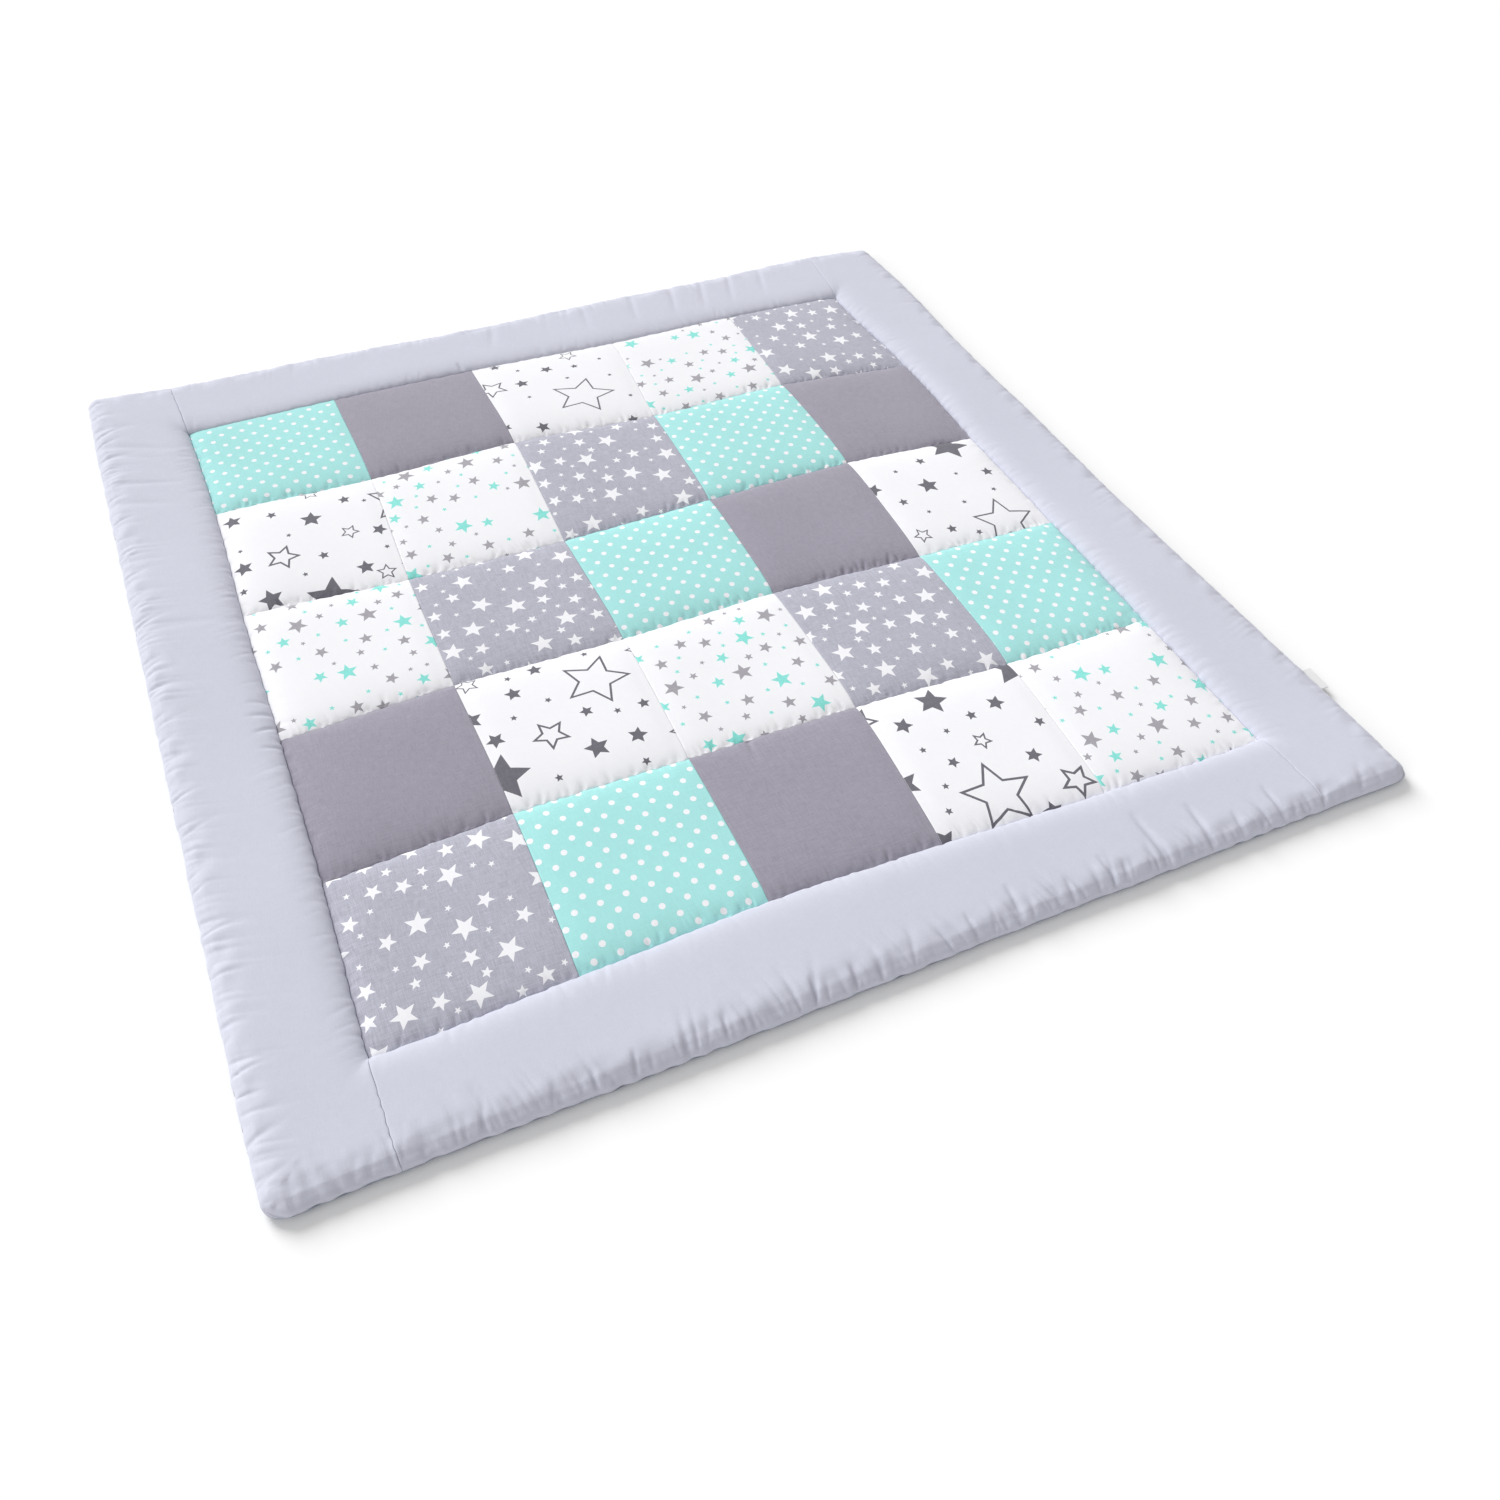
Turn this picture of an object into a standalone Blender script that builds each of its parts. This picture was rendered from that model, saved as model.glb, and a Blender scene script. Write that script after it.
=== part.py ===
"""A filled patchwork play mat for a baby, lying flat.

A square field of 25 patches is quilted along its row seams, four puffed strips border it, one backing cloth
lies under all of them and turns up at its rim to the edge seam, and a small folded label stands out of the
right edge. Metres, +Z up. The origin is on the floor under the middle of the mat, +X runs to the right along
the front edge and +Y runs to the back.
"""

import math

import bmesh
import bpy
import numpy as np

# Driving sizes in plan
SIDE = 1.200
PATCH = 0.194
PATCHES = 5
SIDE_HALF = SIDE / 2
FIELD_HALF = PATCH * PATCHES / 2
BORDER = SIDE_HALF - FIELD_HALF
GAP = 0.0003

# Heights over the floor
BACKING_THICKNESS = 0.002
FILL_BOTTOM = BACKING_THICKNESS + GAP
FIELD_CREST = 0.0205
BORDER_CREST = 0.0230
SEAM_DITCH = 0.0115
ROW_DITCH_RISE = 0.0010
EDGE_LIP = 0.0006

# The backing's rim, which curves up from the floor to the edge seam
RIM_WIDTH = 0.011
RIM_HEIGHT = 0.0076
RIM_CLEARANCE = 0.0002

# The mat rests on a straight-sided square of its underside. From there the cloth lifts a little to its edge.
REST_INSET = 0.032
EDGE_LIFT = 0.0005

# How far in from a seam or an edge the cloth reaches its crest
ROW_LOFT = PATCH / 2
SIDE_LOFT = 0.075
BORDER_LOFT = 0.050
EDGE_ROLL = 0.030
LOFT_POWER = 3.0
BORDER_LOFT_POWER = 4.5
CORNER_POWER = 4

# The column seams only crease the rows' crowns
COLUMN_CREASE = 0.16
COLUMN_CREASE_WIDTH = 0.012

# Waves of the cloth: (height in mm, radians a metre to the right, radians a metre to the back, phase).
# The filling's slow highs and lows, and the gathers that the edge seam pulls up.
UNEVENNESS = (
    (0.7, 11, 5, 1.0),
    (0.6, -8, 13, 2.0),
    (0.4, 19, -15, 0.5),
)
GATHERS = (
    (0.6, 150, 45, 0.3),
    (0.5, -100, 125, 1.1),
    (0.5, 55, -175, 2.3),
)
GATHERS_MIDDLE = 0.014
GATHERS_WIDTH = 0.010

# Grid lines: across one patch as a share of it, and across a border strip from the outer edge in
PATCH_STEPS = (0.0, 0.04, 0.13, 0.28, 0.42, 0.58, 0.72, 0.87, 0.96)
EDGE_STEPS = (0.0, 0.004, RIM_WIDTH, 0.020, REST_INSET, 0.060, 0.086, 0.103, 0.111)

# Numbers for the meshes
LEVEL_WITHIN = 1e-7
SHARP_DEGREES = 50

# Corner radii of the outline, as the turned corners came out: (to the right, to the back, radius)
CORNERS = (
    (-1, 1, 0.014),
    (1, 1, 0.012),
    (1, -1, 0.014),
    (-1, -1, 0.022),
)

# How far the sewn lines wander from their even places, in mm. Rows run from the back edge to the front edge:
# back edge, back border seam, four row seams, front border seam, front edge. Columns run from left to right:
# left edge, left border seam, four column seams, right border seam, right edge.
SEAM_LINES = (
    -SIDE_HALF,
    -FIELD_HALF,
    PATCH - FIELD_HALF,
    2 * PATCH - FIELD_HALF,
    3 * PATCH - FIELD_HALF,
    4 * PATCH - FIELD_HALF,
    FIELD_HALF,
    SIDE_HALF,
)
WANDER_RIGHT = (
    (-6, -13, -6, -5, 6, 5, 2, -8),
    (-7, -6, -6, -6, 10, 5, -9, -3),
    (-6, -1, -1, -1, 1, 4, 0, -9),
    (-4, -3, -6, -6, -2, 6, -3, -6),
    (-3, -1, -5, -1, -2, 1, -2, -7),
    (-1, 0, 0, -2, 2, 0, -2, -1),
    (0, -3, -2, -1, -5, -7, -1, 5),
    (2, -2, -2, -1, -3, -5, 2, 6),
)
WANDER_BACK = (
    (0, -10, -8, -12, -5, -5, 4, -3),
    (-6, -12, -7, -5, -9, -4, -7, -4),
    (3, 4, 2, 11, 1, 5, -12, -6),
    (0, 2, -7, -8, 0, 5, -6, -3),
    (-4, -7, 1, 0, 6, 0, -4, -2),
    (-5, -8, 2, 2, 1, -5, -3, -2),
    (-5, -10, -4, 3, -2, -9, -12, -8),
    (-2, 0, -1, 0, 2, 2, 3, 2),
)

# Main creases of the border cloth, in mm: (from x, from y, to x, to y, half width, depth)
CREASES = (
    (-600, 520, -537, 512, 9, 1.1),
    (-598, 480, -503, 445, 10, 1.4),
    (-600, 393, -505, 364, 10, 1.6),
    (-600, 352, -490, 313, 10, 1.3),
    (-598, 111, -491, 86, 11, 1.2),
    (-598, -450, -570, -456, 8, 1.6),
    (-598, -570, -567, -583, 8, 1.6),
    (-411, -555, -400, -598, 8, 2.2),
    (-462, -570, -456, -598, 8, 1.8),
    (293, -515, 296, -598, 9, 2.2),
    (350, -530, 348, -600, 9, 2.0),
    (121, -550, 121, -596, 8, 1.6),
    (435, -545, 435, -596, 8, 1.8),
    (441, -293, 469, -277, 7, 1.2),
)

# The folded label: its place along the right edge, its width along it and how far it stands out
LABEL_MIDDLE_Y = -0.4445
LABEL_WIDTH = 0.031
LABEL_REACH = 0.0135
LABEL_THICKNESS = 0.0012
LABEL_HEIGHT = 0.0079
LABEL_FOLD_STEPS = 6


def spline_weights(place):
    """For each place, the weights of the eight sewn lines' values in a smooth curve through them."""
    lines = np.array(SEAM_LINES)
    unit = np.eye(len(lines))
    slope = np.gradient(unit, lines, axis=0)
    place = np.clip(place, lines[0], lines[-1])
    k = np.clip(np.searchsorted(lines, place) - 1, 0, len(lines) - 2)
    span = (lines[k + 1] - lines[k])[:, None]
    t = (place - lines[k])[:, None] / span
    from_low = (1 + 2 * t) * (1 - t) ** 2 * unit[k] + t * (1 - t) ** 2 * span * slope[k]
    from_high = t * t * (3 - 2 * t) * unit[k + 1] + t * t * (t - 1) * span * slope[k + 1]
    return from_low + from_high


def wandered(x, y):
    """Moves points of the even plan to where the sewn lines really run."""
    across = spline_weights(x)
    down = spline_weights(-y)
    right = np.einsum("ni,ij,nj->n", down, np.array(WANDER_RIGHT), across) / 1000
    back = np.einsum("ni,ij,nj->n", down, np.array(WANDER_BACK), across) / 1000
    return x + right, y + back


def rounded(x, y):
    """Bends the square's four corners into arcs."""
    x, y = x.copy(), y.copy()
    for right, back, radius in CORNERS:
        u = (right * x - SIDE_HALF + radius) / radius
        v = (back * y - SIDE_HALF + radius) / radius
        inside = (u > 0) & (v > 0)
        u, v = u[inside], v[inside]
        x[inside] = right * (SIDE_HALF - radius + radius * u * np.sqrt(1 - v * v / 2))
        y[inside] = back * (SIDE_HALF - radius + radius * v * np.sqrt(1 - u * u / 2))
    return x, y


def edge_distance(x, y):
    """How far a point lies in from the rounded outline."""
    distance = SIDE_HALF - np.maximum(np.abs(x), np.abs(y))
    for right, back, radius in CORNERS:
        u = (right * x - SIDE_HALF + radius) / radius
        v = (back * y - SIDE_HALF + radius) / radius
        inside = (u > 0) & (v > 0)
        reach = np.sqrt(np.clip(u * u + v * v - u * u * v * v, 0, 1))
        distance = np.where(inside, radius * (1 - reach), distance)
    return distance


def placed(x, y, z, share=1.0):
    """Points of the even plan, as they lie on the real mat, or moved only by this share of the wander."""
    x, y = rounded(x, y)
    seen_x, seen_y = wandered(x, y)
    return np.stack([x + share * (seen_x - x), y + share * (seen_y - y), z], axis=1)


def loft(distance, reach, power=LOFT_POWER):
    """How far up to its crest filled cloth is at this distance from the seam that holds it down."""
    t = np.clip(distance / reach, 0, 1)
    return np.sqrt(1 - (1 - t) ** power)


def waves(x, y, table):
    return sum(height / 1000 * np.sin(right * x + back * y + phase) for height, right, back, phase in table)


def crease_depth(x, y):
    depth = np.zeros_like(x)
    for from_x, from_y, to_x, to_y, half_width, deep in CREASES:
        start = np.array([from_x, from_y]) / 1000
        run = np.array([to_x, to_y]) / 1000 - start
        t = ((x - start[0]) * run[0] + (y - start[1]) * run[1]) / (run @ run)
        t = np.clip(t, 0, 1)
        away = np.hypot(x - start[0] - t * run[0], y - start[1] - t * run[1])
        depth += deep / 1000 * np.exp(-((away * 1000 / half_width) ** 2))
    return depth


def field_top(x, y):
    """Five puffed rows between ditches, creased by the column seams."""
    to_row_seam = np.abs((y + FIELD_HALF) / PATCH - np.round((y + FIELD_HALF) / PATCH)) * PATCH
    to_side_seam = FIELD_HALF - np.abs(x)
    to_border_seam = FIELD_HALF - np.abs(y)
    column = np.clip(np.round((x + FIELD_HALF) / PATCH), 1, PATCHES - 1)
    to_column_seam = np.abs(x + FIELD_HALF - column * PATCH)
    ditch = SEAM_DITCH + ROW_DITCH_RISE * loft(np.minimum(to_side_seam, to_border_seam), SIDE_LOFT)
    crease = 1 - COLUMN_CREASE * np.exp(-((to_column_seam / COLUMN_CREASE_WIDTH) ** 2))
    rise = loft(to_row_seam, ROW_LOFT) * loft(to_side_seam, SIDE_LOFT) * crease
    crest = FIELD_CREST + waves(x, y, UNEVENNESS)
    return ditch + (crest - ditch) * rise - crease_depth(x, y) * rise


def border_top(x, y):
    """A puffed strip that rises from the border seam and rolls over to the edge seam."""
    past_x = np.maximum(np.abs(x) - FIELD_HALF, 0)
    past_y = np.maximum(np.abs(y) - FIELD_HALF, 0)
    from_field = (past_x**CORNER_POWER + past_y**CORNER_POWER) ** (1 / CORNER_POWER)
    near_x = np.clip(1 - (SIDE_HALF - np.abs(x)) / EDGE_ROLL, 0, 1)
    near_y = np.clip(1 - (SIDE_HALF - np.abs(y)) / EDGE_ROLL, 0, 1)
    near = np.minimum((near_x**CORNER_POWER + near_y**CORNER_POWER) ** (1 / CORNER_POWER), 1)
    rise = loft(from_field, BORDER_LOFT, BORDER_LOFT_POWER) * np.sqrt(1 - near * near)
    to_edge = edge_distance(x, y)
    gathers = np.exp(-(((to_edge - GATHERS_MIDDLE) / GATHERS_WIDTH) ** 2)) * waves(x, y, GATHERS)
    crest = BORDER_CREST + waves(x, y, UNEVENNESS) + gathers
    lip = RIM_HEIGHT + GAP + RIM_CLEARANCE + EDGE_LIP
    low = np.where(to_edge < RIM_WIDTH, lip, SEAM_DITCH)
    return low + (crest - low) * rise - crease_depth(x, y) * rise


def rim_rise(x, y):
    """How far the backing's rim is turned up, from 0 on the flat to 1 at the edge."""
    t = np.clip(edge_distance(x, y) / RIM_WIDTH, 0, 1)
    return 1 - np.sqrt(1 - (1 - t) ** 2)


def border_bottom(x, y):
    rise = rim_rise(x, y)
    return FILL_BOTTOM + (RIM_HEIGHT - BACKING_THICKNESS) * rise + RIM_CLEARANCE * np.sqrt(rise)


def field_bottom(x, y):
    return np.full_like(x, FILL_BOTTOM)


def backing_top(x, y):
    return BACKING_THICKNESS + (RIM_HEIGHT - BACKING_THICKNESS) * rim_rise(x, y)


def backing_bottom(x, y):
    lift = EDGE_LIFT * np.clip(1 - edge_distance(x, y) / REST_INSET, 0, 1)
    return (RIM_HEIGHT - BACKING_THICKNESS) * rim_rise(x, y) + lift


def all_of_it(x, y):
    return np.ones_like(x)


def outside_the_rest(x, y):
    """0 on the square that the mat rests on and 1 from the rim out."""
    return np.clip((REST_INSET - edge_distance(x, y)) / (REST_INSET - RIM_WIDTH), 0, 1)


def field_lines():
    starts = np.arange(PATCHES)[:, None] + np.array(PATCH_STEPS)[None, :]
    return np.append(starts.ravel() * PATCH, PATCHES * PATCH) - FIELD_HALF


def low_border_lines():
    """Across the left or the front strip."""
    return np.array(EDGE_STEPS + (BORDER,)) - SIDE_HALF


def high_border_lines():
    """Across the right or the back strip."""
    return -low_border_lines()[::-1]


def full_lines():
    return np.concatenate([low_border_lines()[:-1], field_lines(), high_border_lines()[1:]])


def pulled_in(lines):
    """Draws a piece's two border lines in by half the gap, where it meets its neighbours."""
    lines = lines.copy()
    for end, way in ((0, 1), (-1, -1)):
        if abs(lines[end]) < SIDE_HALF:
            lines[end] += way * GAP / 2
    return lines


def grid_faces(columns, rows):
    """The triangles of a top and a bottom grid of points, and the quads of the wall that joins them.

    Every cell is split along the same diagonal, so that surfaces which lie on each other have the same facets.
    """
    count = columns * rows
    index = np.arange(count).reshape(rows, columns)
    near_left, near_right = index[:-1, :-1].ravel(), index[:-1, 1:].ravel()
    far_left, far_right = index[1:, :-1].ravel(), index[1:, 1:].ravel()
    top = np.concatenate(
        [
            np.stack([near_left, near_right, far_right], axis=1),
            np.stack([near_left, far_right, far_left], axis=1),
        ]
    )
    loop = np.concatenate([index[0, :-1], index[:-1, -1], index[-1, :0:-1], index[:0:-1, 0]])
    ahead = np.roll(loop, -1)
    wall = np.stack([loop + count, ahead + count, ahead, loop], axis=1)
    return top.tolist() + (top[:, ::-1] + count).tolist() + wall.tolist()


def flatten_faces(mesh, heights):
    """Makes one face of each level area at these heights."""
    work = bmesh.new()
    work.from_mesh(mesh)
    for height in heights:
        level = [f for f in work.faces if all(abs(v.co.z - height) < LEVEL_WITHIN for v in f.verts)]
        bmesh.ops.dissolve_faces(work, faces=level, use_verts=False)
    work.to_mesh(mesh)
    work.free()


def cloth_solid(name, x_lines, y_lines, top, bottom, level_heights, material, bottom_wander=all_of_it):
    """One closed body between a top and a bottom surface over a grid of lines."""
    x, y = (a.ravel() for a in np.meshgrid(x_lines, y_lines))
    under = placed(x, y, bottom(x, y), bottom_wander(x, y))
    points = np.concatenate([placed(x, y, top(x, y)), under])
    mesh = bpy.data.meshes.new(name)
    mesh.from_pydata(points.tolist(), [], grid_faces(len(x_lines), len(y_lines)))
    flatten_faces(mesh, level_heights)
    return shown(name, mesh, material)


def shown(name, mesh, material):
    mesh.materials.append(material)
    mesh.shade_smooth()
    mesh.set_sharp_from_angle(angle=math.radians(SHARP_DEGREES))
    body = bpy.data.objects.new(name, mesh)
    bpy.context.scene.collection.objects.link(body)
    return body


def folded_label(name, material):
    """A tape folded back on itself, its fold outwards, with its ends at the edge seam."""
    radius = LABEL_THICKNESS / 2
    turns = np.linspace(math.pi / 2, -math.pi / 2, LABEL_FOLD_STEPS + 1)
    outline = [(0, radius)]
    outline += [(LABEL_REACH - radius + radius * math.cos(t), radius * math.sin(t)) for t in turns]
    outline += [(0, -radius)]
    half = LABEL_WIDTH / 2
    points = [(x, -half, z) for x, z in outline] + [(x, half, z) for x, z in outline]
    count = len(outline)
    ends = [list(range(count))[::-1], list(range(count, 2 * count))]
    sides = [[k, (k + 1) % count, (k + 1) % count + count, k + count] for k in range(count)]
    mesh = bpy.data.meshes.new(name)
    mesh.from_pydata(points, [], ends + sides)
    body = shown(name, mesh, material)
    reach = np.array([LABEL_MIDDLE_Y - half, LABEL_MIDDLE_Y + half])
    edge_x = placed(np.full(2, SIDE_HALF), reach, np.zeros(2))[:, 0]
    body.location = (edge_x.max() + GAP, LABEL_MIDDLE_Y, LABEL_HEIGHT)
    return body


def cloth_material(name, colour, roughness):
    material = bpy.data.materials.new(name)
    material.use_nodes = True
    shader = material.node_tree.nodes["Principled BSDF"]
    shader.inputs["Base Color"].default_value = (*colour, 1)
    shader.inputs["Roughness"].default_value = roughness
    shader.inputs["Metallic"].default_value = 0
    material.diffuse_color = (*colour, 1)
    return material


def build():
    for old in list(bpy.data.objects):
        bpy.data.objects.remove(old, do_unlink=True)

    patchwork = cloth_material("patchwork_cotton", (0.52, 0.68, 0.70), 0.90)
    border = cloth_material("border_cotton", (0.61, 0.62, 0.71), 0.90)
    backing = cloth_material("backing_cotton", (0.42, 0.46, 0.55), 0.92)
    tape = cloth_material("label_tape", (0.92, 0.92, 0.92), 0.70)

    middle = pulled_in(field_lines())
    low = pulled_in(low_border_lines())
    high = pulled_in(high_border_lines())
    full = full_lines()
    strips = (
        ("border_left", low, full),
        ("border_right", high, full),
        ("border_back", middle, high),
        ("border_front", middle, low),
    )

    cloth_solid("quilted_field", middle, middle, field_top, field_bottom, [FILL_BOTTOM], patchwork)
    for name, x_lines, y_lines in strips:
        cloth_solid(name, x_lines, y_lines, border_top, border_bottom, [FILL_BOTTOM], border)
    levels = [0.0, BACKING_THICKNESS]
    cloth_solid("backing", full, full, backing_top, backing_bottom, levels, backing, outside_the_rest)
    folded_label("side_label", tape)


build()
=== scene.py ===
"""The looks of the patchwork play mat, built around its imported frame.

The plan and the heights are the frame's own, with finer seams, puckers and creases, but for the back border's
seam, which is drawn down less. Each of the 25 patches is a filled piece of its own, with its print cut into
the cloth's mesh. Metres, +Z up.
"""

import math

import bpy
import numpy as np
from mathutils import Matrix, Vector
from mathutils.geometry import delaunay_2d_cdt
from mathutils.kdtree import KDTree


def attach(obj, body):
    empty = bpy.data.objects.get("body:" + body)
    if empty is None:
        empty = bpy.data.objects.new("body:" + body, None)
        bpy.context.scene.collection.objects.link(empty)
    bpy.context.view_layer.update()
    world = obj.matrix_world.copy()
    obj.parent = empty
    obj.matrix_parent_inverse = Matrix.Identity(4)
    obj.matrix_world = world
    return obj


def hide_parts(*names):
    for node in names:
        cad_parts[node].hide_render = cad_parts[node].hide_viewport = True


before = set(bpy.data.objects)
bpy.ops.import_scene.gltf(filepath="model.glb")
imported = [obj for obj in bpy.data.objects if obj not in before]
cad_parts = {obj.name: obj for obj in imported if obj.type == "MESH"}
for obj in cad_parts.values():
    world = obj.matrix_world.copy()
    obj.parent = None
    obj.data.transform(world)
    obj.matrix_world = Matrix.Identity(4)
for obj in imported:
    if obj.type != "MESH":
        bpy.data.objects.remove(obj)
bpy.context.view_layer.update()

# Sizes of the frame
PATCH = 0.194
PATCHES = 5
SIDE_HALF = 0.600
FIELD_HALF = PATCH * PATCHES / 2
GAP = 0.0003
BACKING_THICKNESS = 0.002
FILL_BOTTOM = BACKING_THICKNESS + GAP
FIELD_CREST = 0.0205
BORDER_CREST = 0.0230
SEAM_DITCH = 0.0115
ROW_DITCH_RISE = 0.0010
EDGE_LIP = 0.0006
RIM_WIDTH = 0.011
RIM_HEIGHT = 0.0076
RIM_CLEARANCE = 0.0002
REST_INSET = 0.032
EDGE_LIFT = 0.0005
ROW_LOFT = PATCH / 2
SIDE_LOFT = 0.075
BORDER_LOFT = 0.050
EDGE_ROLL = 0.030
LOFT_POWER = 3.0
BORDER_LOFT_POWER = 4.5
CORNER_POWER = 4
COLUMN_CREASE = 0.16
COLUMN_CREASE_WIDTH = 0.012
CORNER_FOLD_REACH = 0.012

# How much less the back border's seam is drawn down, and how far to both sides that fades out
BACK_SEAM_RISE = 0.0050
BACK_SEAM_REACH = 0.090

# Waves of the cloth: (height in mm, radians a metre to the right, radians a metre to the back, phase)
UNEVENNESS = (
    (0.7, 11, 5, 1.0),
    (0.6, -8, 13, 2.0),
    (0.4, 19, -15, 0.5),
)
GATHERS = (
    (0.6, 150, 45, 0.3),
    (0.5, -100, 125, 1.1),
    (0.5, 55, -175, 2.3),
)
GATHERS_MIDDLE = 0.014
GATHERS_WIDTH = 0.010

# Corner radii of the outline: (to the right, to the back, radius)
CORNERS = (
    (-1, 1, 0.014),
    (1, 1, 0.012),
    (1, -1, 0.014),
    (-1, -1, 0.022),
)

# How far the sewn lines wander from their even places, in mm: rows from back to front, columns left to right
SEAM_LINES = (-SIDE_HALF,) + tuple(k * PATCH - FIELD_HALF for k in range(PATCHES + 1)) + (SIDE_HALF,)
WANDER_RIGHT = (
    (-6, -13, -6, -5, 6, 5, 2, -8),
    (-7, -6, -6, -6, 10, 5, -9, -3),
    (-6, -1, -1, -1, 1, 4, 0, -9),
    (-4, -3, -6, -6, -2, 6, -3, -6),
    (-3, -1, -5, -1, -2, 1, -2, -7),
    (-1, 0, 0, -2, 2, 0, -2, -1),
    (0, -3, -2, -1, -5, -7, -1, 5),
    (2, -2, -2, -1, -3, -5, 2, 6),
)
WANDER_BACK = (
    (0, -10, -8, -12, -5, -5, 4, -3),
    (-6, -12, -7, -5, -9, -4, -7, -4),
    (3, 4, 2, 11, 1, 5, -12, -6),
    (0, 2, -7, -8, 0, 5, -6, -3),
    (-4, -7, 1, 0, 6, 0, -4, -2),
    (-5, -8, 2, 2, 1, -5, -3, -2),
    (-5, -10, -4, 3, -2, -9, -12, -8),
    (-2, 0, -1, 0, 2, 2, 3, 2),
)

# Creases of the cloth from their deep end to their faint end, in mm: (from x, from y, to x, to y, half width,
# depth)
CREASES = (
    (-600, 520, -537, 512, 5, 1.1),
    (-598, 480, -503, 445, 6, 1.3),
    (-600, 460, -525, 429, 4, 0.9),
    (-600, 393, -505, 364, 5, 1.5),
    (-600, 352, -520, 318, 6, 1.2),
    (-602, 303, -560, 296, 4, 0.9),
    (-602, 260, -566, 255, 4, 0.9),
    (-598, 111, -491, 86, 6, 1.1),
    (-598, -450, -566, -456, 4, 1.6),
    (-598, -568, -567, -583, 4, 1.6),
    (-400, -600, -413, -550, 4, 2.4),
    (-456, -600, -464, -566, 4, 2.0),
    (-376, -600, -388, -577, 3, 1.8),
    (469, -277, 439, -294, 4, 1.2),
    (-40, 592, -58, 520, 5, 1.4),
    (92, 596, 78, 520, 5, 1.3),
    (170, 596, 150, 515, 5, 1.5),
    (238, 596, 214, 512, 5, 1.6),
    (290, 596, 262, 510, 5, 1.7),
    (338, 596, 312, 512, 5, 1.6),
    (392, 596, 372, 518, 5, 1.4),
)

# Fine seams: where cloth is folded under at a seam, and how far a sewn line steps from side to side
FOLD_RADIUS = 0.0016
FOLD_DEPTH = 0.0010
WOBBLE = 0.0009
SIDE_WOBBLE_SHARE = 0.7
WOBBLE_REACH = 0.008
WOBBLE_PITCH = 0.006
EDGE_WOBBLE = 0.0008
EDGE_WOBBLE_PITCH = 0.011

# Where the seeds of the uneven values start, for each kind of seam
ROW_WOBBLE_SEED = 100
SIDE_WOBBLE_SEED = 120
EDGE_X_WOBBLE_SEED = 130
EDGE_Y_WOBBLE_SEED = 140
ROW_FOLD_SEED = 200
SIDE_FOLD_SEED = 300
BORDER_FOLD_SEED = 400

# Soft puckers: height, how far out they peak, and their mean spacing along the seam
ROW_PUCKER = (0.0010, 0.0050, 0.0062)
UNDER_PUCKER = (0.0006, 0.0040, 0.0070)
SIDE_PUCKER = (0.0009, 0.0060, 0.0075)
BORDER_PUCKER = (0.0007, 0.0080, 0.0085)
EDGE_PUCKER = (0.0024, 0.0090, 0.0080)

# Narrow pleats: depth, length and mean spacing along the seam
ROW_PLEATS = (0.0022, 0.0090, 0.0100)
UNDER_PLEATS = (0.0009, 0.0050, 0.0140)
SIDE_PLEATS = (0.0014, 0.0080, 0.0130)
BORDER_PLEATS = (0.0011, 0.0140, 0.0130)
EDGE_PLEATS = (0.0040, 0.0200, 0.0120)
PLEAT_HALF_WIDTH = 0.0016
PLEAT_START = 0.002
PLEAT_SPAN = 0.02

# How strong the edge seam's own folds are on the low and the high side of x and of y
EDGE_FOLDS_X = {-1: 0.8, 1: 0.4}
EDGE_FOLDS_Y = {-1: 1.0, 1: 0.45}

# Pleats that stand out in the photograph, from the seam outwards, in mm: (from x, from y, to x, to y, half
# width, depth)
PLEATS = (
    (156, -96, 158, -90, 1.8, 2.0),
    (166, -96, 169, -87, 2.2, 2.7),
    (190, -96, 194, -85, 2.2, 3.1),
    (202, -96, 205, -89, 2.0, 2.4),
    (217, -96, 222, -83, 2.2, 3.1),
    (233, -96, 236, -86, 2.2, 2.5),
    (250, -96, 256, -82, 2.2, 3.1),
    (262, -96, 264, -89, 2.0, 2.0),
    (50, 98, 52, 105, 1.8, 2.0),
    (64, 98, 66, 108, 2.0, 2.7),
    (78, 98, 82, 105, 2.0, 2.4),
    (-30, -292, -36, -326, 3.0, 2.0),
    (-487, -46, -506, -41, 2.4, 2.4),
    (-487, -64, -510, -60, 2.6, 2.7),
    (-487, -82, -508, -86, 2.6, 2.5),
    (-487, -112, -506, -108, 2.4, 2.2),
    (-108, 486, -112, 503, 2.6, 3.1),
    (-315, -602, -313, -580, 2.2, 4.1),
    (-279, -602, -274, -577, 2.4, 4.4),
    (-263, -602, -262, -584, 2.2, 3.4),
    (-229, -602, -226, -580, 2.2, 4.1),
    (-192, -602, -190, -576, 2.4, 4.4),
    (-164, -602, -166, -582, 2.2, 3.7),
    (-104, -602, -101, -574, 2.4, 4.1),
    (-63, -602, -60, -578, 2.4, 4.1),
    (-35, -602, -33, -582, 2.2, 3.4),
    (70, -602, 68, -570, 2.6, 3.7),
    (121, -602, 123, -556, 3.2, 4.1),
    (181, -602, 182, -572, 2.6, 3.7),
    (231, -602, 228, -560, 3.0, 3.7),
    (246, -602, 248, -575, 2.6, 3.4),
    (293, -602, 292, -524, 4.0, 4.1),
    (347, -602, 351, -536, 3.8, 4.1),
    (385, -602, 387, -566, 2.8, 3.4),
    (435, -602, 437, -548, 3.2, 3.7),
    (469, -602, 468, -576, 2.6, 3.4),
)

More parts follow.
